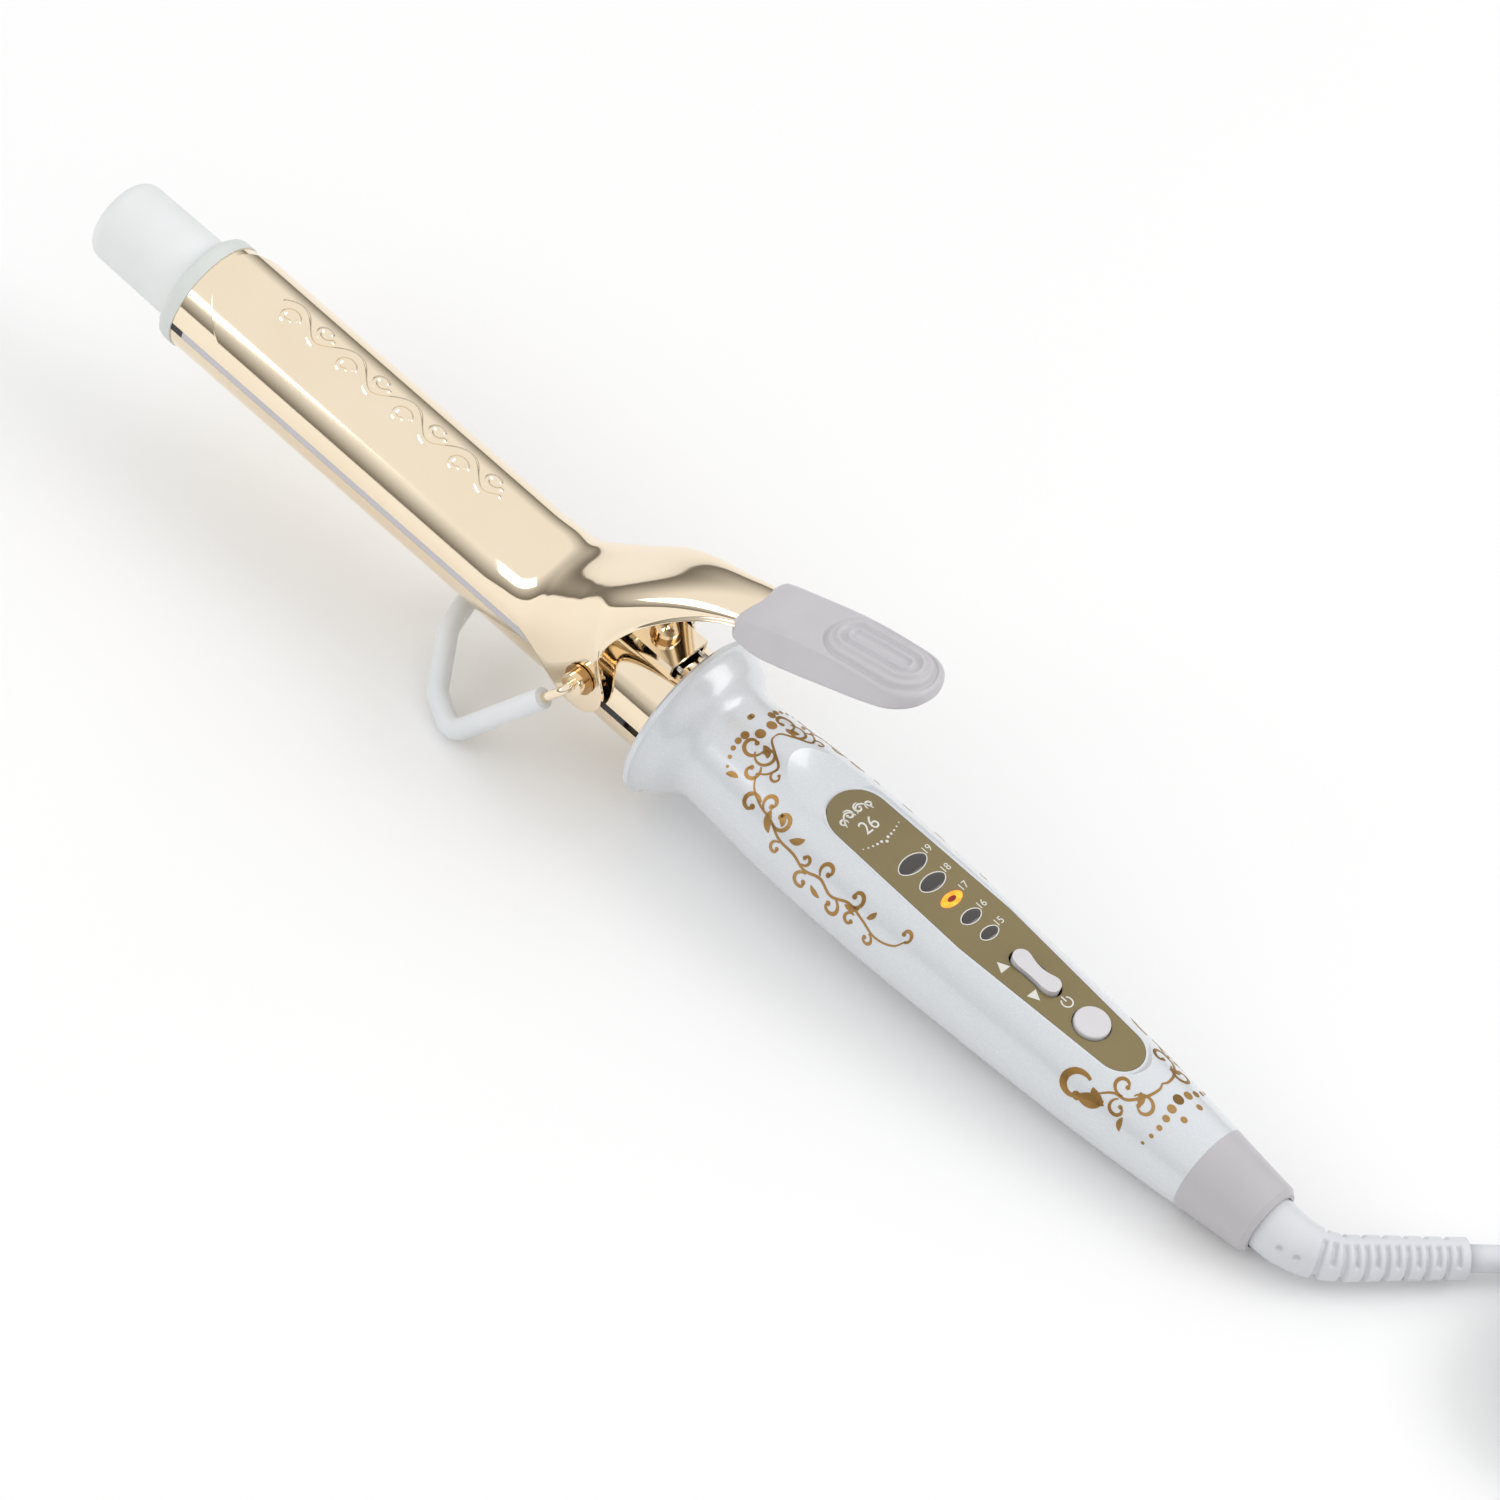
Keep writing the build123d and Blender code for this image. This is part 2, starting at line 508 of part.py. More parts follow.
make_barrel()
make_tip()
make_clamp()
make_pivot()
make_bracket()
make_stand()
make_handle()
make_panel()
make_buttons()
make_electronics()
make_wiring()
cord_start = make_tail()
moved = place()
first_run = [tuple((moved * Pos(*point)).position) for point in cord_start]
cord_nodes["cord_run"] = tube([*first_run, *CORD_RUN], "cord_run")
cord_nodes["cord_tail"] = tube(CORD_TAIL, "cord_tail")
make_hank()
make_plug()

show("pivot", moved, (0, 0, PIVOT_Z))
show("swivel", moved, (CAP_REAR, 0, 0))
show("cord exit", moved, tuple(cord_start[0]))
show("cord second point", moved, tuple(cord_start[1]))
show("power button", moved, (POWER_X, 0, panel_z(POWER_X)))
show("rocker pivot", moved, tuple(on_panel(ROCKER_X, lift=ROCKER_PIN).position))
for name, solid in {**nodes, **cord_nodes}.items():
    export_step(solid, f"parts/{name}.step")
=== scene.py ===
import json
import math

import bpy
import numpy as np
from mathutils import Matrix, Vector
from mathutils.bvhtree import BVHTree


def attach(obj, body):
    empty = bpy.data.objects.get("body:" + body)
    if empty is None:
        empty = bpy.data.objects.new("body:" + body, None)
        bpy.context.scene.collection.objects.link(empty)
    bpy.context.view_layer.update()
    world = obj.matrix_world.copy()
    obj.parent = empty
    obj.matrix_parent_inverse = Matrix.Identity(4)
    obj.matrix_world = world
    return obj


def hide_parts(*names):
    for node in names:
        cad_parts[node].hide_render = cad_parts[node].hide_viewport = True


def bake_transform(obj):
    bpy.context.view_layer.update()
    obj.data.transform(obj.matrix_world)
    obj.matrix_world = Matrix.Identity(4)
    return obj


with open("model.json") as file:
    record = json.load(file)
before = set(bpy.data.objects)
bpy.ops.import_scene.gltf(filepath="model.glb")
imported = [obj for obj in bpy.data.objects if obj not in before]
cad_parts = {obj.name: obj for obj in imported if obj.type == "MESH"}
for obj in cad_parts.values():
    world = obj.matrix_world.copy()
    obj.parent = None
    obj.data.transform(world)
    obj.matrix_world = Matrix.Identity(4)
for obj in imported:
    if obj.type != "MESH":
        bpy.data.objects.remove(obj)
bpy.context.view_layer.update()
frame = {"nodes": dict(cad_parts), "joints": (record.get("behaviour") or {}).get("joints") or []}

# The iron's own frame, as in the CAD: millimetres, X along the barrel axis towards the cord,
# Z to the clamp side, x = 0 at the clamp's pivot. IRON takes it to the resting row frame.
PIVOT_Z = 4.5
joints = {joint["name"]: joint for joint in frame["joints"]}
pivot = Vector(joints["clamp_hinge"]["pos_m"])
tilt = math.asin(-joints["cord_turn"]["axis"][2])
IRON = (Matrix.Translation(pivot) @ Matrix.Rotation(tilt, 4, "Y")
        @ Matrix.Scale(0.001, 4) @ Matrix.Translation((0, 0, -PIVOT_Z)))

CLAMP_R = 14.2                  # outside of the clamp plate
CLAMP_WALL = 0.8
CLAMP_FRONT = -119.5
CLAMP_NOSE = 15.5
CLAMP_HALF_ANGLE = 73.0
PANEL_X = 57.0
PANEL_Z = 12.2
PANEL_SLOPE = -0.0163
# x, length across and width along of each lamp window
LAMPS = [(79.2, 7.8, 3.7), (84.9, 7.0, 3.4), (90.3, 6.2, 3.1), (95.8, 5.4, 2.8), (101.0, 4.8, 2.5)]
LIT_LAMP = 2
BOOT_START_X = 176.0            # the strain relief: straight, then an elbow, then straight
BOOT_BEND_X = 186.0
BOOT_BEND_R = 17.0
BOOT_TURN = math.radians(51.0)
BOOT_TAIL = 25.0
BOOT_R = 6.2
BOOT_SLEEVE_R = 4.8
BOOT_TAPER = 0.4
CORD_R = 0.003


# Node materials
def new_material(name):
    material = bpy.data.materials.new(name)
    material.use_nodes = True
    tree = material.node_tree
    return material, tree, tree.nodes["Principled BSDF"]


def add(tree, kind, **values):
    node = tree.nodes.new(kind)
    for key, value in values.items():
        setattr(node, key, value)
    return node


def noise(tree, scale, detail=3.0, rough=0.55):
    place = add(tree, "ShaderNodeTexCoord")
    node = add(tree, "ShaderNodeTexNoise")
    node.inputs["Scale"].default_value = scale
    node.inputs["Detail"].default_value = detail
    node.inputs["Roughness"].default_value = rough
    tree.links.new(place.outputs["Object"], node.inputs["Vector"])
    return node.outputs["Fac"]


def spread(tree, value, low, high, start=0.0, end=1.0):
    node = add(tree, "ShaderNodeMapRange")
    for key, number in zip(("From Min", "From Max", "To Min", "To Max"), (start, end, low, high)):
        node.inputs[key].default_value = number
    tree.links.new(value, node.inputs["Value"])
    return node.outputs["Result"]


def two_tone(tree, value, first, second, start=0.3, end=0.7):
    ramp = add(tree, "ShaderNodeValToRGB")
    ramp.color_ramp.elements[0].position = start
    ramp.color_ramp.elements[1].position = end
    ramp.color_ramp.elements[0].color = (*first, 1)
    ramp.color_ramp.elements[1].color = (*second, 1)
    tree.links.new(value, ramp.inputs["Fac"])
    return ramp.outputs["Color"]


def bumpy(tree, shader, height, strength, distance):
    bump = add(tree, "ShaderNodeBump")
    bump.inputs["Strength"].default_value = strength
    bump.inputs["Distance"].default_value = distance
    tree.links.new(height, bump.inputs["Height"])
    tree.links.new(bump.outputs["Normal"], shader.inputs["Normal"])


def plated(name, first, second, rough):
    """Mirror plating with a trace of haze and unevenness."""
    material, tree, shader = new_material(name)
    shader.inputs["Metallic"].default_value = 1.0
    haze = noise(tree, 45.0)
    tree.links.new(two_tone(tree, haze, first, second), shader.inputs["Base Color"])
    tree.links.new(spread(tree, haze, rough * 0.7, rough * 1.4), shader.inputs["Roughness"])
    bumpy(tree, shader, noise(tree, 900.0), 0.02, 0.0001)
    return material


def moulded(name, first, second, rough, grain=1400.0, depth=0.12, coat=0.0, sheen=0.0):
    """Moulded plastic or rubber with a fine moulded grain."""
    material, tree, shader = new_material(name)
    tree.links.new(two_tone(tree, noise(tree, 60.0), first, second), shader.inputs["Base Color"])
    fine = noise(tree, grain, 2.0)
    tree.links.new(spread(tree, fine, rough * 0.85, min(1.0, rough * 1.15)), shader.inputs["Roughness"])
    shader.inputs["Coat Weight"].default_value = coat
    shader.inputs["Coat Roughness"].default_value = 0.12
    shader.inputs["Sheen Weight"].default_value = sheen
    bumpy(tree, shader, fine, depth, 0.0001)
    return material


def pearl(name):
    """Pearl lacquer: fine flakes that sparkle under a clear coat."""
    material, tree, shader = new_material(name)
    place = add(tree, "ShaderNodeTexCoord")
    flakes = add(tree, "ShaderNodeTexVoronoi")
    flakes.inputs["Scale"].default_value = 7000.0
    tree.links.new(place.outputs["Object"], flakes.inputs["Vector"])
    split = add(tree, "ShaderNodeSeparateColor")
    tree.links.new(flakes.outputs["Color"], split.inputs["Color"])
    glint = spread(tree, split.outputs["Red"], 0.0, 1.0, 0.6, 1.0)
    tint = two_tone(tree, glint, (0.69, 0.715, 0.745), (0.77, 0.79, 0.815), 0.0, 1.0)
    tree.links.new(tint, shader.inputs["Base Color"])
    tree.links.new(spread(tree, split.outputs["Green"], 0.3, 0.34), shader.inputs["Roughness"])
    shader.inputs["Metallic"].default_value = 0.12
    shader.inputs["Coat Weight"].default_value = 0.8
    shader.inputs["Coat Roughness"].default_value = 0.08
    return material


def smoked(name, first, second):
    """Deep glossy panel with a slight cloud under its surface."""
    material, tree, shader = new_material(name)
    tree.links.new(two_tone(tree, noise(tree, 28.0, 4.0), first, second), shader.inputs["Base Color"])
    tree.links.new(spread(tree, noise(tree, 300.0), 0.1, 0.2), shader.inputs["Roughness"])
    shader.inputs["Coat Weight"].default_value = 1.0
    shader.inputs["Coat Roughness"].default_value = 0.03
    return material


def glowing(name, first, second, strength):
    """Lit lamp window."""
    material, tree, shader = new_material(name)
    tint = two_tone(tree, noise(tree, 700.0), first, second)
    tree.links.new(tint, shader.inputs["Base Color"])
    tree.links.new(tint, shader.inputs["Emission Color"])
    shader.inputs["Emission Strength"].default_value = strength
    shader.inputs["Roughness"].default_value = 0.2
    return material


GOLD = plated("champagne_gold", (0.93, 0.785, 0.59), (0.95, 0.82, 0.63), 0.07)
BRONZE = plated("bronze_gold", (0.42, 0.24, 0.10), (0.55, 0.34, 0.15), 0.16)
STEEL = plated("bright_steel", (0.62, 0.62, 0.62), (0.74, 0.74, 0.73), 0.14)
PEARL = pearl("pearl_white")
LILAC = moulded("lilac_grey", (0.56, 0.54, 0.57), (0.60, 0.58, 0.61), 0.38)
CAP = moulded("cap_grey", (0.50, 0.485, 0.505), (0.53, 0.515, 0.535), 0.38)
TIP = moulded("tip_white", (0.78, 0.80, 0.80), (0.82, 0.84, 0.84), 0.6, 2200.0, 0.3)
COLLAR = moulded("collar_grey", (0.68, 0.71, 0.69), (0.71, 0.74, 0.72), 0.5, 2200.0, 0.2)
BLACK = moulded("black_resin", (0.02, 0.02, 0.022), (0.035, 0.035, 0.04), 0.5)
SILICONE = moulded("white_silicone", (0.74, 0.77, 0.79), (0.80, 0.82, 0.84), 0.42, 900.0, 0.08, sheen=0.2)
BUTTON = moulded("button_grey", (0.66, 0.645, 0.665), (0.70, 0.685, 0.705), 0.4)
VINYL = moulded("cord_vinyl", (0.66, 0.675, 0.71), (0.71, 0.725, 0.755), 0.36, 700.0, 0.1)
PRINT = plated("gold_print", (0.36, 0.20, 0.065), (0.48, 0.30, 0.12), 0.36)
PALE = moulded("pale_print", (0.70, 0.69, 0.63), (0.76, 0.75, 0.70), 0.4)
OLIVE = smoked("olive_panel", (0.175, 0.125, 0.03), (0.205, 0.15, 0.04))
DARK = smoked("smoked_window", (0.012, 0.010, 0.008), (0.022, 0.018, 0.014))
LIT = glowing("amber_glow", (1.0, 0.20, 0.008), (1.0, 0.34, 0.02), 1.1)
EMBER = glowing("red_ember", (0.16, 0.012, 0.004), (0.24, 0.02, 0.006), 0.3)
BOARD = moulded("green_board", (0.03, 0.16, 0.08), (0.04, 0.2, 0.1), 0.35)
CERAMIC = moulded("heater_ceramic", (0.5, 0.45, 0.36), (0.58, 0.52, 0.42), 0.7)
FILM = smoked("amber_film", (0.55, 0.28, 0.04), (0.65, 0.35, 0.06))
LABEL = moulded("rating_film", (0.52, 0.54, 0.56), (0.58, 0.6, 0.62), 0.3)

CAD_LOOKS = {
    "barrel_upper_shell": GOLD, "barrel_lower_shell": GOLD, "side_seal_strips": LILAC,
    "slot_end_spacers": BLACK, "ptc_heater": CERAMIC, "heater_electrodes": STEEL,
    "insulation_film": FILM, "thermistor": CERAMIC, "thermal_fuse": STEEL, "lead_wires": SILICONE,
    "cool_tip": TIP, "tip_collar": COLLAR, "tip_screw": STEEL, "barrel_mount_bush": BLACK,
    "clamp_plate": GOLD, "thumb_rest": LILAC, "pivot_bushes": STEEL, "pivot_screws": GOLD,
    "pivot_washers": BRONZE, "spring_bracket": GOLD, "bracket_screw": GOLD, "bracket_washer": BRONZE,
    "clamp_spring": STEEL, "stand_wire": GOLD, "stand_sleeve": SILICONE, "handle_upper_shell": PEARL,
    "handle_lower_shell": PEARL, "display_panel": OLIVE, "indicator_windows": DARK,
    "indicator_leds": FILM, "rocker_button": BUTTON, "power_button": BUTTON, "circuit_board": BOARD,
    "tact_switches": BLACK, "board_components": BLACK, "handle_screws": STEEL, "rating_plate": LABEL,
    "mains_leads": SILICONE, "tail_cap": CAP, "swivel_hub": BLACK, "swivel_contacts": STEEL,
    "strain_relief": VINYL, "cord_run": VINYL, "cord_tail": VINYL, "cord_hank": VINYL,
    "hank_tie": SILICONE, "plug_body": VINYL, "plug_blades": STEEL}


def dress_cad():
    for name, node in frame["nodes"].items():
        node.data.materials.clear()
        node.data.materials.append(CAD_LOOKS[name])


# Building pieces
def build(name, points, faces, materials, body, hides=(), place=IRON, kinds=None, flat=False):
    """A mesh piece from points in its own frame; place takes them to the row frame."""
    mesh = bpy.data.meshes.new(name)
    mesh.from_pydata([place @ Vector(p) for p in points], [], [tuple(f) for f in faces])
    for material in materials if isinstance(materials, list) else [materials]:
        mesh.materials.append(material)
    if kinds is not None:
        mesh.polygons.foreach_set("material_index", kinds)
    mesh.polygons.foreach_set("use_smooth", [not flat] * len(mesh.polygons))
    mesh.update()
    piece = bpy.data.objects.new(name, mesh)
    bpy.context.collection.objects.link(piece)
    if body:
        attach(piece, body)
    if hides:
        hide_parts(*hides)
    return piece


def grid_faces(rows, columns, closed=False):
    """Quads of a rows by columns grid of points; closed joins the last column to the first."""
    faces = []
    for i in range(rows - 1):
        for j in range(columns if closed else columns - 1):
            k = (j + 1) % columns
            faces.append((i * columns + j, i * columns + k, (i + 1) * columns + k, (i + 1) * columns + j))
    return faces


def smoothstep(value, low, high):
    t = np.clip((value - low) / (high - low), 0, 1)
    return t * t * (3 - 2 * t)


def curve_through(points, count):
    """Points evenly spread in parameter on a Catmull-Rom curve through the given points."""
    points = np.array(points, float)
    ends = np.vstack([2 * points[0] - points[1], points, 2 * points[-1] - points[-2]])
    out = []
    for t in np.linspace(0, len(points) - 1, count):
        i = min(int(t), len(points) - 2)
        u = t - i
        a, b, c, d = ends[i:i + 4]
        out.append(0.5 * (2 * b + (c - a) * u + (2 * a - 5 * b + 4 * c - d) * u * u
                          + (3 * b - a - 3 * c + d) * u ** 3))
    return np.array(out)


def run_along(line):
    """Distance of each point of a polyline from its start."""
    return np.r_[0, np.cumsum(np.linalg.norm(np.diff(line, axis=0), axis=1))]


def even(points, step):
    """The same polyline with points a step apart."""
    points = np.array(points, float)
    run = run_along(points)
    spots = np.linspace(0, run[-1], max(2, int(round(run[-1] / step)) + 1))
    return np.stack([np.interp(spots, run, points[:, k]) for k in range(points.shape[1])], 1)


def apply_modifiers(piece):
    """Bake a piece's modifiers into its mesh."""
    graph = bpy.context.evaluated_depsgraph_get()
    baked = bpy.data.meshes.new_from_object(piece.evaluated_get(graph))
    piece.modifiers.clear()
    old = piece.data
    piece.data = baked
    bpy.data.meshes.remove(old)


def frames_along(line):
    """A side and an up vector for each point of a line, turned as little as possible."""
    tangent = np.gradient(line, axis=0)
    tangent /= np.linalg.norm(tangent, axis=1)[:, None]
    side = np.cross(tangent[0], (0, 0, 1.0))
    side /= np.linalg.norm(side)
    sides, ups = [], []
    for t in tangent:
        side = side - t * side.dot(t)
        side /= np.linalg.norm(side)
        sides.append(side)
        ups.append(np.cross(side, t))
    return np.array(sides), np.array(ups)


def tube_points(line, radii, count):
    """Rings of points round a line: a radius for each ring, or for each of its points."""
    sides, ups = frames_along(line)
    angle = np.linspace(0, 2 * math.pi, count, endpoint=False)
    ring = np.cos(angle)[None, :, None] * sides[:, None, :] + np.sin(angle)[None, :, None] * ups[:, None, :]
    radii = np.asarray(radii, float)
    if radii.ndim == 1:
        radii = radii[:, None]
    return (line[:, None, :] + ring * radii[:, :, None]).reshape(-1, 3)


def capped(rows, count):
    """Faces of a tube of rows rings of count points, closed at both ends."""
    faces = grid_faces(rows, count, closed=True)
    return faces + [tuple(range(count))[::-1], tuple((rows - 1) * count + j for j in range(count))]


# Clamp plate and lever: one drawn sheet. Each station pairs a point of the top line (x, z) with
# a point of the near edge (x, y, z), which runs round the ear and up to the lever.
EMBOSS_FROM, EMBOSS_TO = -105.0, -39.0
CLAMP_TOP = [(-31, 14.2), (-25, 14.25), (-21.5, 14.6), (-18.5, 15.6), (-16, 17.0), (-14, 18.4),
             (-12, 20.0), (-10, 21.6), (-8.2, 23.2), (-6.4, 24.8), (-4.6, 26.4), (-2.8, 28.0),
             (-0.8, 29.8), (1.5, 31.8), (5, 34.7), (9.5, 38.1), (14.5, 41.3), (20, 44.2),
             (26, 46.6), (33, 48.9)]
CLAMP_EDGE = [(-31, 13.58, 4.15), (-24, 13.7, 3.6), (-18, 14.0, 2.2), (-12, 14.35, -0.2),
              (-7.5, 14.7, -2.6), (-4, 14.8, -4.2), (0.3, 14.85, -4.9), (4, 14.85, -3.6),
              (6.2, 14.85, -0.4), (6.6, 14.8, 3.0), (5.2, 14.7, 6.4), (3.2, 14.5, 9.2),
              (2.0, 14.1, 12.2), (2.2, 13.4, 15.8), (4.0, 12.5, 20.8), (7.6, 11.0, 27.0),
              (13.4, 9.2, 33.8), (19, 7.8, 38.9), (25, 6.8, 43.0), (32, 5.8, 45.4)]
EAR_BORE_R = 2.6
LEVER_ROWS = 150


def vine_strokes():
    """Centre lines of the raised running vine: a wave with a curl in each hollow."""
    strokes = []
    waves = 4
    x = np.linspace(EMBOSS_FROM + 1, EMBOSS_TO - 1, 260)
    phase = (x - EMBOSS_FROM) / (EMBOSS_TO - EMBOSS_FROM) * 2 * waves * math.pi
    strokes.append((np.stack([x, 2.6 * np.sin(phase)], 1), 0.5))
    for k in range(2 * waves):
        turn = 1 if k % 2 == 0 else -1
        centre = EMBOSS_FROM + (k + 0.5) * (EMBOSS_TO - EMBOSS_FROM) / (2 * waves)
        angle = np.linspace(0.1 * math.pi, 1.7 * math.pi, 40)
        radius = 2.3 - 0.85 * (angle - angle[0]) / math.pi
        curl = np.stack([centre + radius * np.cos(angle), turn * (-1.6 + radius * np.sin(angle))], 1)
        strokes.append((curl, 0.4))
    return strokes


def vine_height(x, y):
    """Raised height of the vine at points of the unrolled sheet."""
    height = np.zeros_like(x)
    for line, half in vine_strokes():
        close = line[np.abs(line[:, 0] - x[0]) < 3]
        if len(close) == 0:
            continue
        gap = np.sqrt((x[:, None] - close[:, 0]) ** 2 + (y[:, None] - close[:, 1]) ** 2).min(1)
        height = np.maximum(height, 0.42 * (1 - smoothstep(gap, half - 0.25, half + 0.4)))
    return height


def arch(top, edge, power, spots):
    """Points of a superelliptic arch from the near edge over the top to the far edge."""
    angle = np.linspace(-math.pi / 2, math.pi / 2, 400)
    across = np.sign(np.sin(angle)) * np.abs(np.sin(angle)) ** (2 / power)
    rise = np.abs(np.cos(angle)) ** (2 / power)
    line = np.stack([edge[0] + (top[0] - edge[0]) * rise, edge[1] * across,
                     edge[2] + (top[1] - edge[2]) * rise], 1)
    run = run_along(line)
    return np.stack([np.interp((spots + 1) / 2 * run[-1], run, line[:, k]) for k in range(3)], 1)


def shell_row(x, spots):
    """The round clamp plate at x, with its vine, from edge to edge."""
    reach = min(max((CLAMP_FRONT + CLAMP_NOSE - x) / CLAMP_NOSE, 0), 0.9999)
    plan = math.degrees(math.asin(min(13.7 * math.sqrt(1 - reach ** 2) / CLAMP_R, 1)))
    angle = math.radians(min(plan, CLAMP_HALF_ANGLE)) * spots
    radius = CLAMP_R + np.zeros_like(spots)
    if EMBOSS_FROM - 1 < x < EMBOSS_TO + 1:
        radius = radius + vine_height(np.full_like(spots, x), CLAMP_R * angle)
    return np.stack([np.full_like(spots, x), radius * np.sin(angle), radius * np.cos(angle)], 1)


def lever_row(top, edge, spots):
    """One station of the sheet behind the plate: round at first, boxy at the ears, then arched."""
    boxy = smoothstep(top[0], -24, -9) * (1 - smoothstep(top[0], -5, 22))
    row = arch(top, edge, 2.15 + 2.2 * boxy, spots)
    share = smoothstep(top[0], -31, -17)
    row = shell_row(top[0], spots) * (1 - share) + row * share
    flare = 0.9 * smoothstep(top[0], -6, 8) * smoothstep(np.abs(spots), 0.91, 1.0)
    row[:, 1] += np.sign(spots) * flare
    return row


def eased(line, reach=8):
    """The line with its small waves averaged out; its ends stay where they are."""
    ends = np.vstack([2 * line[0] - line[reach:0:-1], line, 2 * line[-1] - line[-2:-reach - 2:-1]])
    return np.mean([ends[k:k + len(line)] for k in range(2 * reach + 1)], axis=0)


def make_clamp():
    """The clamp plate, its ears and its lever, with real wall thickness and bored ears."""
    spots = np.linspace(-1, 1, 141)
    spots = spots * (0.6 + 0.4 * spots ** 2)
    nose = CLAMP_FRONT + 0.02 + 8 * np.linspace(0, 1, 26) ** 2
    rows = [shell_row(x, spots) for x in [*nose, *np.arange(CLAMP_FRONT + 8.3, -31.2, 0.3)]]
    tops, edges = (eased(curve_through(line, LEVER_ROWS)) for line in (CLAMP_TOP, CLAMP_EDGE))
    rows += [lever_row(top, edge, spots) for top, edge in zip(tops, edges)]
    sheet = build("clamp_sheet", np.vstack(rows), grid_faces(len(rows), len(spots)), GOLD, None)
    wall = sheet.modifiers.new("wall", "SOLIDIFY")
    wall.thickness = CLAMP_WALL / 1000
    wall.offset = 1.0
    rim = sheet.modifiers.new("rim", "BEVEL")
    rim.width = 0.00018
    rim.segments = 2
    rim.limit_method = "ANGLE"
    rim.angle_limit = math.radians(50)
    cutter = cylinder("ear_bore", EAR_BORE_R, 60, IRON @ Matrix.Translation((0, 0, PIVOT_Z)))
    bore = sheet.modifiers.new("bore", "BOOLEAN")
    bore.object = cutter
    bore.operation = "DIFFERENCE"
    apply_modifiers(sheet)
    bpy.data.objects.remove(cutter)
    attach(sheet, "clamp")
    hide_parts("clamp_plate")


def cylinder(name, radius, length, place):
    """A plain cylinder along Y, used to cut a bore."""
    sides = 48
    angle = np.linspace(0, 2 * math.pi, sides, endpoint=False)
    ring = np.stack([radius * np.cos(angle), np.zeros(sides), radius * np.sin(angle)], 1)
    points = np.vstack([ring - (0, length / 2, 0), ring + (0, length / 2, 0)])
    mesh = bpy.data.meshes.new(name)
    mesh.from_pydata([place @ Vector(p) for p in points], [], capped(2, sides))
    piece = bpy.data.objects.new(name, mesh)
    bpy.context.collection.objects.link(piece)
    return piece


# Thumb rest: a wedge with an oval pad of raised rings
REST_FRONT = 24.8
REST_TOP = [(REST_FRONT, 43.8), (25.6, 45.8), (27.8, 47.7), (33, 50.4), (45, 55.7), (55, 58.9),
            (63, 61.1), (66.8, 61.6), (69.2, 60.9), (70, 59.2)]
REST_BOTTOM = [(REST_FRONT, 41.4), (25.6, 39.8), (27.8, 38.7), (33, 38.9), (42, 42.7), (51, 47.1),
               (59, 50.9), (65, 54.2), (68.6, 56.8), (70, 58.6)]
REST_REAR = 69.98
REST_HALF = 8.0
PAD_FROM, PAD_TO = 49.5, 61.5   # ends of the line that the rings go round
PAD_RINGS = [1.7, 3.9]
PAD_EDGE = 6.1


def pad_height(x, y):
    """Height of the thumb pad's rings and border over the rest's top."""
    gap = np.hypot(x - np.clip(x, PAD_FROM, PAD_TO), y)
    height = 0.5 * (1 - smoothstep(gap, PAD_EDGE - 0.45, PAD_EDGE))
    height = height - 0.55 * np.exp(-((gap - PAD_EDGE - 0.35) / 0.4) ** 2)
    for ring in PAD_RINGS:
        height = height + 0.75 * (1 - smoothstep(np.abs(gap - ring), 0.2, 0.75))
    return height


def rest_section(x, high, low, columns):
    """Points round the rest at x: a boxy section, narrowed at both ends, with the pad's relief."""
    angle = np.linspace(0, 2 * math.pi, 1200)
    front = 1 - 0.16 * (1 - smoothstep(x, REST_FRONT, 26.6))
    rear = math.sqrt(max(0.02, 1 - max(0.0, (x - 61.5) / 8.55) ** 2.4))
    power = 5.6 - 2.4 * smoothstep(x, 50, 68)
    across = np.sign(np.cos(angle)) * np.abs(np.cos(angle)) ** (2 / power)
    rise = np.sign(np.sin(angle)) * np.abs(np.sin(angle)) ** (2 / power)
    y, z = REST_HALF * front * rear * across, (high + low) / 2 + (high - low) / 2 * rise
    run = np.r_[0, np.cumsum(np.hypot(np.diff(y), np.diff(z)))]
    spots = np.linspace(0, run[-1], columns, endpoint=False)
    y, z = np.interp(spots, run, y), np.interp(spots, run, z)
    lift = pad_height(np.full_like(y, x), y) * smoothstep(z, (high + low) / 2, high - 0.8)
    return zip(x - 0.28 * lift, y, z + 0.96 * lift)


def make_thumb_rest():
    top, bottom = curve_through(REST_TOP, 400), curve_through(REST_BOTTOM, 400)
    front = np.linspace(REST_FRONT, 26.4, 14)
    rear = np.linspace(67.2, REST_REAR, 18)
    stations = np.r_[front, np.arange(26.65, 67, 0.25), rear]
    columns = 220
    points = []
    for x in stations:
        high, low = np.interp(x, top[:, 0], top[:, 1]), np.interp(x, bottom[:, 0], bottom[:, 1])
        points += rest_section(x, high, low, columns)
    build("thumb_rest_pad", points, capped(len(stations), columns), LILAC, "clamp",
          ["thumb_rest"])


# Strain relief: an elbow, then a sleeve with ladders of slots on both sides
RIB_PITCH = 4.4
RIB_COUNT = 7
SLOT_START = -6.0               # from the elbow's end
SLOT_HALF_WIDTH = 0.55
SLOT_DEPTH = 0.95
DIMPLES = [(0.16, 25), (0.36, 25), (0.26, -35)]     # share of the elbow, angle from the near side


def boot_line():
    straight = [(x, 0.0, 0.0) for x in np.arange(BOOT_START_X, BOOT_BEND_X, 0.25)]
    turns = np.linspace(0, BOOT_TURN, 70)
    bend = [(BOOT_BEND_X + BOOT_BEND_R * math.sin(a), BOOT_BEND_R * (1 - math.cos(a)), 0.0) for a in turns]
    end = np.array(bend[-1])
    way = np.array((math.cos(BOOT_TURN), math.sin(BOOT_TURN), 0.0))
    tail = [end + way * s for s in np.arange(0.2, BOOT_TAIL + 0.01, 0.2)]
    return np.array([*straight, *bend, *tail])


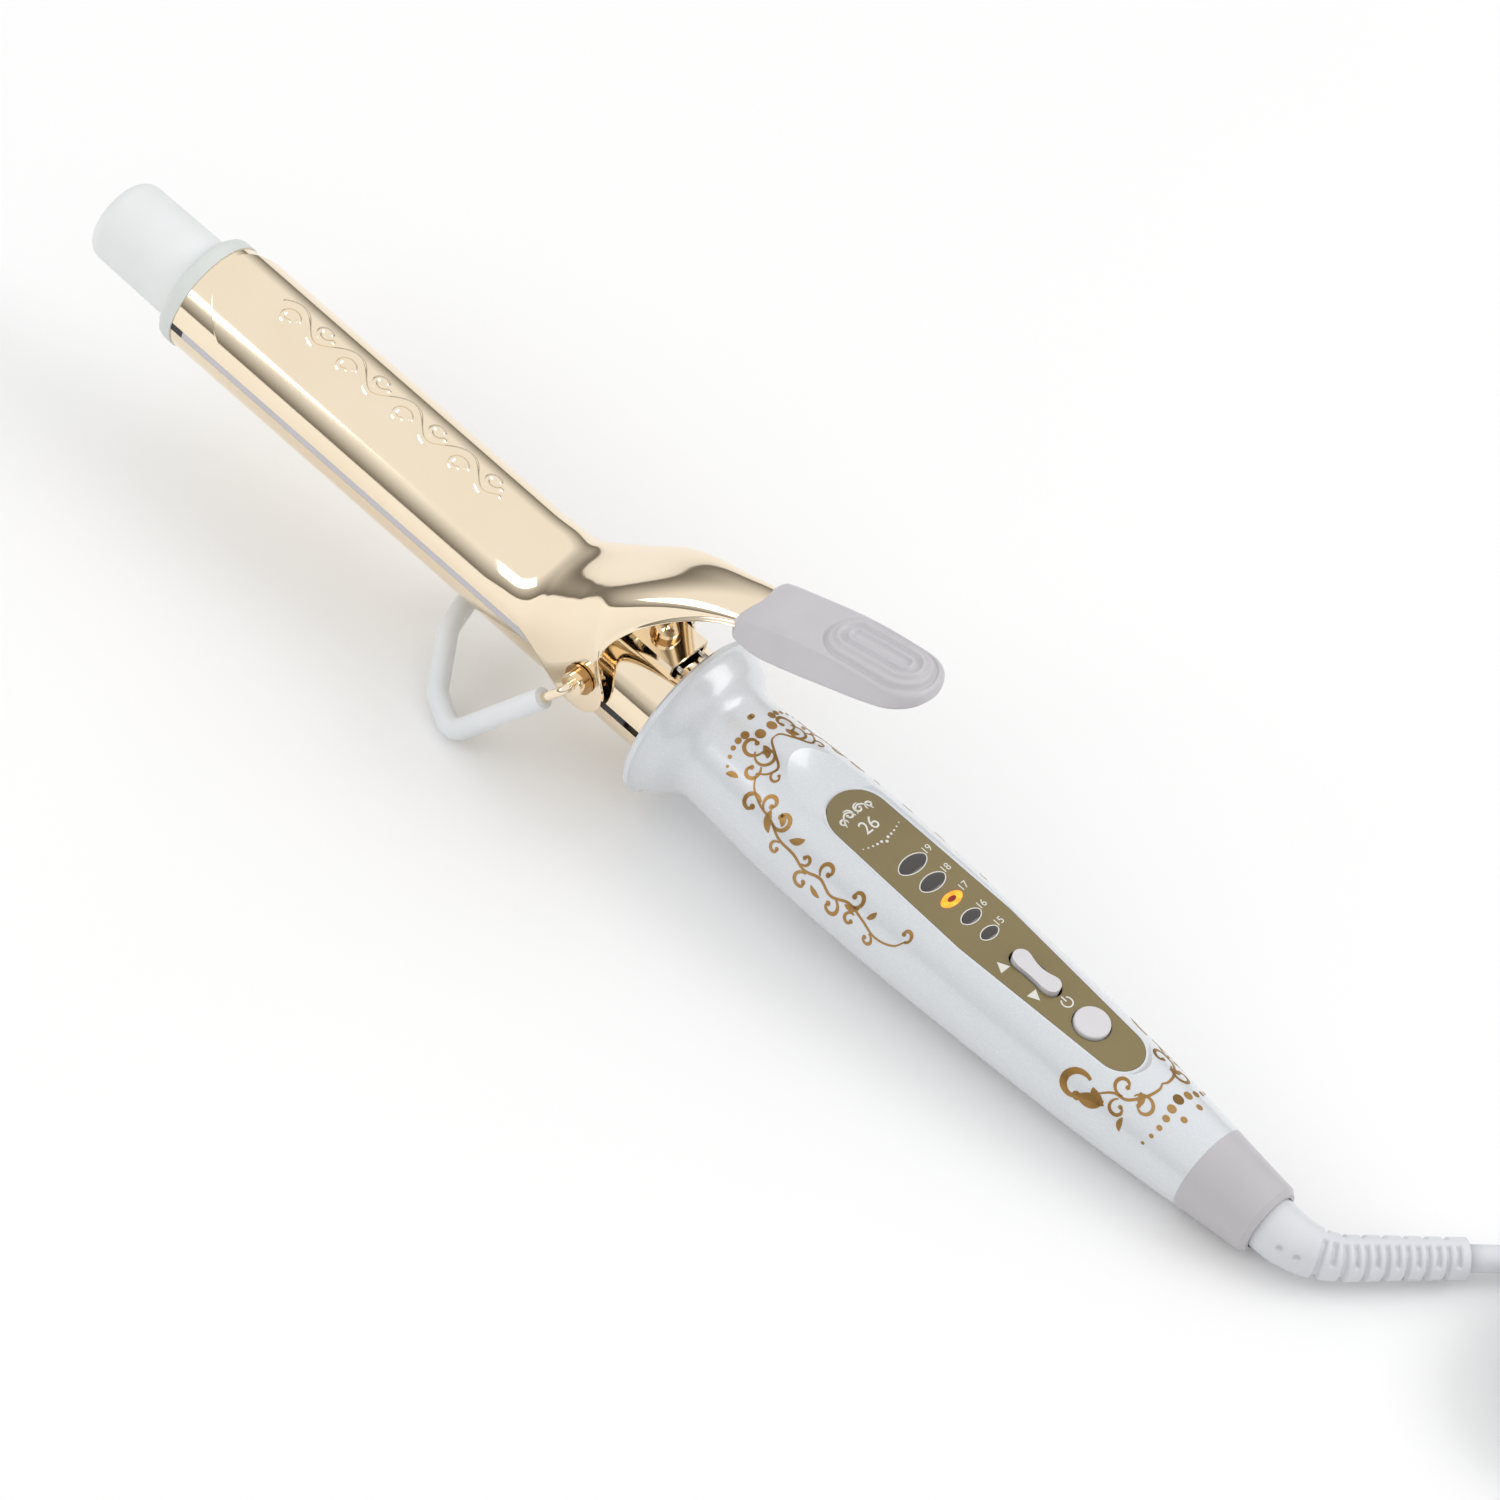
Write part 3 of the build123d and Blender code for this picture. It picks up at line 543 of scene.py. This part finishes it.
def slot_depth(along, angle):
    """Depth of the two ladders of slots along the sleeve, at angles from its near side."""
    depth = np.zeros_like(angle)
    for turn in (0, 180):
        place = (np.degrees(angle) - turn + 180) % 360 - 180
        for k in range(RIB_COUNT):
            start = SLOT_START + k * RIB_PITCH
            for spot, low in ((start, -60), (start + RIB_PITCH / 2, 30)):
                across = 1 - smoothstep(abs(along - spot), SLOT_HALF_WIDTH - 0.2, SLOT_HALF_WIDTH + 0.15)
                length = smoothstep(place, low - 5, low + 5) * (1 - smoothstep(place, 85, 95))
                depth = np.maximum(depth, SLOT_DEPTH * across * length)
    return depth


def make_boot():
    """The strain relief, with its slots and dimples cut in."""
    line = boot_line()
    run = run_along(line)
    elbow = BOOT_BEND_X - BOOT_START_X
    sleeve = elbow + BOOT_BEND_R * BOOT_TURN
    columns = 96
    angle = np.linspace(0, 2 * math.pi, columns, endpoint=False)
    angle = np.where(angle > math.pi, angle - 2 * math.pi, angle)
    radii = []
    for s in run:
        radius = BOOT_R + (BOOT_SLEEVE_R - BOOT_R) * smoothstep(s, elbow - 2, sleeve + 1)
        radius = radius - BOOT_TAPER * smoothstep(s, sleeve, run[-1])
        ring = radius - slot_depth(s - sleeve, angle)
        for share, place in DIMPLES:
            gap = np.hypot(s - (elbow + share * (sleeve - elbow)), radius * (angle - math.radians(place)))
            ring = ring - 0.7 * (1 - smoothstep(gap, 0.4, 0.7))
        radii.append(ring)
    points = tube_points(line, radii, columns)
    return build("ribbed_boot", points, capped(len(line), columns), VINYL, "cord_swivel",
                 ["strain_relief"])


# Control panel: lamp windows and pale graphics
def on_panel(x, y, lift=0.0):
    slope = math.atan(PANEL_SLOPE)
    return (x - lift * math.sin(slope), y, PANEL_Z + PANEL_SLOPE * (x - PANEL_X) + lift * math.cos(slope))


def eye_outline(length, width, count=48):
    """A rounded eye: fuller than a lens, slimmer than an ellipse; its long way is Y."""
    angle = np.linspace(0, 2 * math.pi, count, endpoint=False)
    return np.stack([width / 2 * np.sign(np.cos(angle)) * np.abs(np.cos(angle)) ** 1.15,
                     length / 2 * np.sin(angle)], 1)


def make_lamps():
    for k, (x, length, width) in enumerate(LAMPS):
        rings = [(1.0, -0.2), (1.0, 0.02), (0.93, 0.10), (0.7, 0.16), (0.4, 0.18), (0.12, 0.19)]
        outline = eye_outline(length, width)
        points = [on_panel(x + dx * size, dy * size, lift) for size, lift in rings for dx, dy in outline]
        faces = capped(len(rings), len(outline))
        kinds = [0] * len(faces)
        if k == LIT_LAMP:
            kinds[4 * len(outline):5 * len(outline)] = [1] * len(outline)
            kinds[-1] = 1
        looks = [LIT, EMBER] if k == LIT_LAMP else [DARK]
        hides = ["indicator_windows"] if k == 0 else []
        build(f"lamp_window_{k + 1}", points, faces, looks, "handle", hides, kinds=kinds)


def flat_strip(line, halves):
    """Points and faces of a flat strip along a line, three points wide."""
    line = np.array(line, float)
    way = np.gradient(line, axis=0)
    way /= np.maximum(np.linalg.norm(way, axis=1), 1e-9)[:, None]
    side = np.stack([-way[:, 1], way[:, 0]], 1) * np.asarray(halves, float)[:, None]
    points = np.stack([line - side, line, line + side], 1).reshape(-1, 2)
    return points, grid_faces(len(line), 3)


def disc(x, y, radius, count=20):
    angle = np.linspace(0, 2 * math.pi, count, endpoint=False)
    points = np.vstack([[(x, y)], np.stack([x + radius * np.cos(angle), y + radius * np.sin(angle)], 1)])
    return points, [(0, 1 + j, 1 + (j + 1) % count) for j in range(count)]


def curl(x, y, radius, start, sweep, width, tip=0.35):
    """A spiral tendril: thin where it starts, full in its middle, with a round drop at its eye."""
    t = np.linspace(0, 1, 44)
    angle = math.radians(start) + math.radians(sweep) * t
    reach = radius * (1 - (1 - tip) * t)
    line = np.stack([x + reach * np.cos(angle), y + reach * np.sin(angle)], 1)
    halves = width * (0.16 + 0.84 * np.sin(math.pi * np.clip(t * 0.9 + 0.06, 0, 1)) ** 0.8)
    return [flat_strip(line, halves), disc(*line[-1], width * 1.25)]


def leaf(x, y, angle, length, width):
    """A bent leaf, pointed at both ends."""
    t = np.linspace(0, 1, 24)
    turn = math.radians(angle) + 0.9 * (t - 0.5)
    step = length / 23
    line = np.cumsum(np.stack([np.cos(turn), np.sin(turn)], 1) * step, axis=0) + (x, y)
    return [flat_strip(line, width * np.sin(math.pi * t) ** 0.8 + 0.02)]


def stem(points, width):
    """A stem through points, thin at its ends."""
    line = curve_through(points, 14 * (len(points) - 1))
    t = np.linspace(0, 1, len(line))
    return [flat_strip(line, width * (0.35 + 0.65 * np.sin(math.pi * t) ** 0.5))]


def mirrored(shapes):
    """The shapes and their twins across the middle line, with the twins' faces turned over."""
    twins = [(points * (1, -1), [face[::-1] for face in faces]) for points, faces in shapes]
    return [*shapes, *twins]


def number(label, x, y, size):
    """Digits read from the cord's end, as flat faces: right is +Y, up is -X."""
    data = bpy.data.curves.new("digits", "FONT")
    data.body = label
    data.size = size
    data.align_x, data.align_y = "CENTER", "CENTER"
    holder = bpy.data.objects.new("digits", data)
    bpy.context.collection.objects.link(holder)
    bpy.context.view_layer.update()
    mesh = bpy.data.meshes.new_from_object(holder.evaluated_get(bpy.context.evaluated_depsgraph_get()))
    points = np.array([(x - v.co.y, y + v.co.x) for v in mesh.vertices])
    faces = [tuple(p.vertices) for p in mesh.polygons]
    bpy.data.objects.remove(holder)
    return [(points, faces)]


def ring_strip(outline, half):
    """A thin closed band along an outline."""
    outline = np.array(outline)
    way = np.roll(outline, -1, axis=0) - np.roll(outline, 1, axis=0)
    way /= np.linalg.norm(way, axis=1)[:, None]
    side = np.stack([way[:, 1], -way[:, 0]], 1) * half
    count = len(outline)
    faces = [(j, (j + 1) % count, count + (j + 1) % count, count + j) for j in range(count)]
    return np.vstack([outline + side, outline - side]), faces


def lamp_marks():
    """A pale rim round each dark lamp window, and a number beside every window."""
    shapes = []
    labels = ["19", "18", "17", "16", "15"]
    for k, ((x, length, width), label) in enumerate(zip(LAMPS, labels)):
        if k != LIT_LAMP:
            shapes.append(ring_strip(eye_outline(length + 0.3, width + 0.3) + (x, 0), 0.12))
        shapes += number(label, x - 0.7, length / 2 + 1.35, 2.5)
    return shapes


def button_marks():
    """Two triangles beside the rocker, and a power symbol in front of the power button."""
    shapes = []
    for x, way in ((108.4, -1), (117.6, 1)):
        points = np.array([(x + 1.5 * way, -4.3), (x - 1.0 * way, -5.7), (x - 1.0 * way, -2.9)])
        shapes.append((points, [(0, 1, 2)]))
    angle = np.radians(np.linspace(-145, 145, 40))
    arc = np.stack([122.9 + 1.25 * np.cos(angle), 1.25 * np.sin(angle)], 1)
    shapes.append(flat_strip(arc, np.full(40, 0.17)))
    shapes.append(flat_strip([(121.2, 0), (121.9, 0), (122.7, 0)], np.full(3, 0.17)))
    return shapes


def crest():
    """Small scrolls over the panel's size number, and a bowed row of dots under it."""
    half = [*curl(62.4, 1.5, 1.3, 150, 300, 0.26), *curl(63.2, 4.0, 1.1, -60, -280, 0.24),
            *stem([(63.4, 0.3), (62.1, 0.9), (61.7, 2.1), (62.6, 3.3), (64.4, 4.2)], 0.2)]
    shapes = mirrored(half)
    for k in range(5):
        y = 1.0 + k * 1.15
        shapes += mirrored([disc(71.3 - 0.035 * y * y, y, 0.34 - 0.045 * k, 12)])
    return [*shapes, disc(71.9, 0, 0.36, 12)]


def panel_shapes():
    return [*lamp_marks(), *number("26", 66.9, 0.0, 4.6), *button_marks(), *crest()]


def print_piece(name, shapes, lay, material, body="handle", ink=0.05):
    """Flat shapes laid on the object by lay(x, y) and given the ink's thickness."""
    points, faces, start = [], [], 0
    for shape, some in shapes:
        points += [lay(x, y) for x, y in shape]
        faces += [tuple(start + i for i in face) for face in some]
        start += len(shape)
    piece = build(name, points, faces, material, body, place=Matrix.Identity(4), flat=True)
    skin = piece.modifiers.new("ink", "SOLIDIFY")
    skin.thickness = ink / 1000
    skin.offset = 0.0
    apply_modifiers(piece)


def make_panel_print():
    print_piece("panel_print", panel_shapes(), lambda x, y: IRON @ Vector(on_panel(x, y, 0.03)), PALE)


# Scroll prints on the handle, in millimetres along it and round it (at the radius GIRTH)
GIRTH = 13.0
PRINT_LIFT = 0.00004            # metres off the shells


def front_spray():
    """Half of the spray in front of the panel: scrolls, drops and a run of growing dots."""
    shapes = [disc(37.0, -1.7, 1.15), disc(32.7, 0.3, 0.62)]
    for k, size in enumerate([0.34, 0.44, 0.56, 0.72, 0.92]):
        shapes.append(disc(36.7 - 1.9 * math.sin(0.5 * k), -11.1 + 1.75 * k, size))
    shapes += curl(37.8, -4.6, 2.6, 10, -300, 0.42)
    shapes += curl(41.6, -4.4, 2.6, 200, 330, 0.34)
    shapes += curl(41.4, -8.6, 2.0, 60, -290, 0.4)
    shapes += leaf(42.2, -4.9, 150, 3.2, 0.75)
    shapes += leaf(40.2, -11.4, 200, 3.0, 0.6)
    main = [(39.4, 0.0), (39.9, -1.4), (42.4, -3.0), (45.2, -4.8), (44.6, -7.0), (42.6, -8.4)]
    shapes += stem(main, 0.26)
    shapes += curl(46.4, -6.4, 1.5, 120, 300, 0.28)
    return shapes


def side_vine():
    """The vine along one side: a stem with scrolls and leaves to either hand."""
    spine = [(42.6, -8.4), (44.4, -10.8), (47.6, -12.4), (51.4, -13.2), (55.2, -14.9), (59.6, -15.2),
             (63.4, -16.2), (67.4, -15.3), (71.2, -16.6), (75.4, -15.2), (79.6, -16.0), (84.0, -17.2),
             (88.2, -16.0), (90.2, -13.4)]
    shapes = stem(spine, 0.3)
    tendrils = [(45.6, -13.4, 2.3, 40, 300), (49.4, -10.7, 1.9, 250, -300), (53.6, -11.6, 2.3, 230, 300),
                (55.4, -16.9, 1.5, 80, 290), (63.8, -18.7, 2.1, 80, 300), (62.6, -14.3, 1.3, 250, 280),
                (68.0, -13.2, 1.9, 240, -290), (72.2, -18.6, 2.2, 90, -300), (76.4, -13.3, 2.0, 250, 300),
                (77.2, -17.9, 1.6, 70, 280), (82.4, -18.9, 1.5, 90, -290), (89.4, -12.6, 1.5, 290, 260)]
    for x, y, size, start, sweep in tendrils:
        shapes += curl(x, y, size, start, sweep, 0.2 + 0.12 * size)
    leaves = [(50.2, -11.4, -60, 4.6, 0.85), (57.0, -13.6, 35, 3.6, 0.7), (54.2, -12.9, 130, 2.8, 0.7),
              (66.2, -17.6, -20, 3.2, 0.6), (74.6, -15.9, 20, 3.6, 0.65), (80.2, -15.2, 60, 2.6, 0.55)]
    for x, y, angle, length, width in leaves:
        shapes += leaf(x, y, angle, length, width)
    return shapes


def rear_spray():
    """Half of the spray behind the panel."""
    shapes = curl(136.4, -13.8, 3.7, 60, 250, 0.85, 0.55)
    shapes += leaf(137.2, -15.0, 25, 6.4, 1.7)
    shapes += leaf(139.4, -11.2, -25, 4.6, 1.1)
    shapes += curl(144.2, -6.6, 2.4, -60, -290, 0.42)
    shapes += curl(146.2, -11.6, 2.2, 120, 310, 0.4)
    shapes += curl(150.0, -7.4, 2.9, 170, -320, 0.42)
    shapes += leaf(149.2, -8.2, 120, 3.4, 0.8)
    main = [(141.2, -11.6), (143.6, -9.4), (146.6, -8.6), (149.0, -5.2), (149.8, -1.8), (149.2, 0.2)]
    shapes += stem(main, 0.34)
    shapes += leaf(148.2, -12.2, -75, 3.6, 0.6)
    for k, size in enumerate([0.4, 0.52, 0.68, 0.86, 1.08]):
        shapes.append(disc(154.5 + 0.8 * math.sin(0.8 * k), -14.1 + 2.75 * k, size))
    return [*shapes, disc(153.9, 0.0, 1.3), disc(157.8, -3.0, 0.8)]


def make_scroll_print():
    """Lay the scrolls on the handle's shells along rays to its axis."""
    points, faces = [], []
    for name in ("handle_upper_shell", "handle_lower_shell"):
        mesh = frame["nodes"][name].data
        start = len(points)
        points += [vertex.co.copy() for vertex in mesh.vertices]
        faces += [[start + i for i in polygon.vertices] for polygon in mesh.polygons]
    skin = BVHTree.FromPolygons(points, faces)

    def lay(x, y):
        angle = y / GIRTH
        out = Vector((0, math.sin(angle), math.cos(angle)))
        source = IRON @ (Vector((x, 0, 0)) + out * 30)
        way = ((IRON @ Vector((x, 0, 0))) - source).normalized()
        return skin.ray_cast(source, way)[0] - way * PRINT_LIFT

    shapes = mirrored([*front_spray(), *side_vine(), *rear_spray()])
    print_piece("scroll_print", shapes, lay, PRINT)


# Free cord: the route of the CAD, in metres, then the hank's turns, then the tail to the plug
CORD_EXIT = (0.197665, 0.02573, 0.005871)
CORD_SECOND = (0.206443, 0.03661, 0.005114)
CORD_RUN = [(0.2182, 0.0462, 0.0039), (0.2322, 0.0510, 0.0030)]
CORD_TAIL = [(0.3390, 0.0505, 0.0150), (0.3530, 0.0480, 0.0125), (0.3640, 0.0380, 0.0080),
             (0.3680, 0.0230, 0.0042), (0.3630, 0.0080, 0.0030), (0.3510, -0.0020, 0.0030),
             (0.3350, -0.0058, 0.0030), (0.3180, -0.0052, 0.0040), (0.3050, -0.0040, 0.0045)]
HANK_CENTRE = (0.284, 0.027)
HANK_HALF = 0.042               # half the straight part of its sides
HANK_OUTER = 0.024              # radius of its outer ends
HANK_TOP = 0.0149
HANK_PULL, HANK_PULL_SPREAD = 0.0125, 0.021     # how far and how widely the tie pulls the sides in
CORD_SIDES = 14


def hank_turns():
    """Five turns of the tied hank: outer, inner, then up a layer, and so on, waisted at the tie."""
    rings = [(24.0, 3.1), (18.0, 3.1), (18.0, 9.0), (24.0, 9.0), (24.0, 14.9)]
    points = []
    steps = 48
    for k, (ring, height) in enumerate(rings):
        following = rings[min(k + 1, len(rings) - 1)]
        for i in range(steps):
            share = i / steps
            blend = float(smoothstep(share, 0.55, 0.95))
            r = (ring + (following[0] - ring) * blend) / 1000
            z = (height + (following[1] - height) * blend) / 1000
            around = -2 * math.pi * share + math.pi / 2
            x, y = racetrack(around, r)
            points.append((HANK_CENTRE[0] + x, HANK_CENTRE[1] + y, z))
    return points


def tie_pull(x):
    """How far the tie pulls a side of the hank in at x from its middle."""
    return HANK_PULL * math.exp(-(x / HANK_PULL_SPREAD) ** 2)


def racetrack(around, r):
    """A waisted loop: two round ends, joined by runs that pull in at the tie."""
    start = -HANK_HALF
    straight = 2 * HANK_HALF
    end = math.pi * r
    total = 2 * straight + 2 * end
    s = ((math.pi / 2 - around) / (2 * math.pi) % 1.0) * total
    if s < straight:
        x, y = start + s, r
    elif s < straight + end:
        a = (s - straight) / r
        x, y = HANK_HALF + r * math.sin(a), r * math.cos(a)
    elif s < 2 * straight + end:
        x, y = HANK_HALF - (s - straight - end), -r
    else:
        a = (s - 2 * straight - end) / r
        x, y = -HANK_HALF - r * math.sin(a), -r * math.cos(a)
    return x, y - math.copysign(tie_pull(x), y)


def cord_line():
    """Points of the cord's smooth NURBS centre line."""
    route = [CORD_EXIT, CORD_SECOND, *CORD_RUN, *hank_turns(), *last_side(), *CORD_TAIL]
    data = bpy.data.curves.new("cord_route", "CURVE")
    data.dimensions = "3D"
    data.resolution_u = 4
    spline = data.splines.new("NURBS")
    spline.points.add(len(route) - 1)
    for point, spot in zip(spline.points, route):
        point.co = (*spot, 1)
    spline.order_u = 3
    spline.use_endpoint_u = True
    holder = bpy.data.objects.new("cord_route", data)
    bpy.context.collection.objects.link(holder)
    bpy.context.view_layer.update()
    mesh = bpy.data.meshes.new_from_object(holder.evaluated_get(bpy.context.evaluated_depsgraph_get()))
    line = np.array([vertex.co[:] for vertex in mesh.vertices])
    bpy.data.objects.remove(holder)
    return line


def last_side():
    """The last top side of the hank, up to where the tail leaves it."""
    return [(HANK_CENTRE[0] + x, HANK_CENTRE[1] + HANK_OUTER - tie_pull(x), HANK_TOP)
            for x in np.linspace(-HANK_HALF, HANK_HALF, 10)]


def make_cord(boot):
    """The cord as one swept tube, from the strain relief through the hank to the plug."""
    line = even(cord_line(), 0.004)
    points = tube_points(line, np.full(len(line), CORD_R), CORD_SIDES)
    cord = build("power_cord", points, capped(len(line), CORD_SIDES), VINYL, None,
                 place=Matrix.Identity(4))
    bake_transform(cord)
    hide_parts("cord_run", "cord_tail", "cord_hank")
    print("cord length", round(float(run_along(line)[-1]), 3))


# Stage, light and camera
def make_stage():
    size, drop = 6.0, -0.0002
    points = [(-size, -size, drop), (size, -size, drop), (size, size, drop), (-size, size, drop)]
    mesh = bpy.data.meshes.new("floor")
    mesh.from_pydata(points, [], [(0, 1, 2, 3)])
    floor = bpy.data.objects.new("floor", mesh)
    bpy.context.collection.objects.link(floor)
    material, tree, shader = new_material("floor_white")
    tree.links.new(two_tone(tree, noise(tree, 2.0), (0.93, 0.93, 0.93), (0.95, 0.95, 0.95)),
                   shader.inputs["Base Color"])
    shader.inputs["Roughness"].default_value = 0.9
    mesh.materials.append(material)


def area_light(name, spot, aim, size, power):
    data = bpy.data.lights.new(name, "AREA")
    data.shape = "RECTANGLE"
    data.size, data.size_y = size
    data.energy = power
    light = bpy.data.objects.new(name, data)
    light.location = spot
    light.rotation_euler = (Vector(aim) - Vector(spot)).to_track_quat("-Z", "Y").to_euler()
    bpy.context.collection.objects.link(light)


def make_light():
    """A white sky that darkens to the horizon, with a key and a fill light."""
    world = bpy.data.worlds.new("studio")
    world.use_nodes = True
    bpy.context.scene.world = world
    tree = world.node_tree
    place = add(tree, "ShaderNodeTexCoord")
    split = add(tree, "ShaderNodeSeparateXYZ")
    tree.links.new(place.outputs["Generated"], split.inputs["Vector"])
    ramp = add(tree, "ShaderNodeValToRGB")
    tree.links.new(split.outputs["Z"], ramp.inputs["Fac"])
    ramp.color_ramp.elements[0].position = 0.0
    ramp.color_ramp.elements[0].color = (0.18, 0.17, 0.15, 1)
    ramp.color_ramp.elements[1].position = 0.5
    ramp.color_ramp.elements[1].color = (1.0, 1.0, 1.0, 1)
    tree.links.new(ramp.outputs["Color"], tree.nodes["Background"].inputs["Color"])
    tree.nodes["Background"].inputs["Strength"].default_value = 0.93
    area_light("key", (0.9, 0.7, 1.0), (0, 0, 0), (0.9, 0.7), 5)
    area_light("fill", (-0.9, -0.9, 0.7), (0.0, 0, 0), (0.9, 0.4), 3)


CAMERA_BACK = Vector((0.2875, -0.5701, 0.7696))    # from the iron to the camera, in the iron's frame
CAMERA_SLOPE = -41.22           # the barrel's slope on the picture, in degrees
CAMERA_TARGET = Vector((34.1, 2.0, 1.8))
CAMERA_RANGE = 2100.0
CAMERA_LENS = 243.1


def make_camera():
    turn = IRON.to_3x3().normalized()
    back = CAMERA_BACK.normalized()
    along = Vector((1, 0, 0)) - back * back.x
    along.normalize()
    over = back.cross(along)
    slope = math.radians(CAMERA_SLOPE)
    right = along * math.cos(slope) - over * math.sin(slope)
    up = back.cross(right)
    spot = IRON @ (CAMERA_TARGET + back * CAMERA_RANGE)
    basis = Matrix((turn @ right, turn @ up, turn @ back)).transposed()
    data = bpy.data.cameras.new("camera")
    data.lens = CAMERA_LENS
    data.clip_end = 20
    camera = bpy.data.objects.new("camera", data)
    camera.matrix_world = Matrix.Translation(spot) @ basis.to_4x4()
    bpy.context.collection.objects.link(camera)
    bpy.context.scene.camera = camera
    bpy.context.scene.view_settings.view_transform = "Standard"


dress_cad()
make_stage()
make_light()
make_camera()
make_cord(make_boot())
make_clamp()
make_thumb_rest()
make_lamps()
make_panel_print()
make_scroll_print()
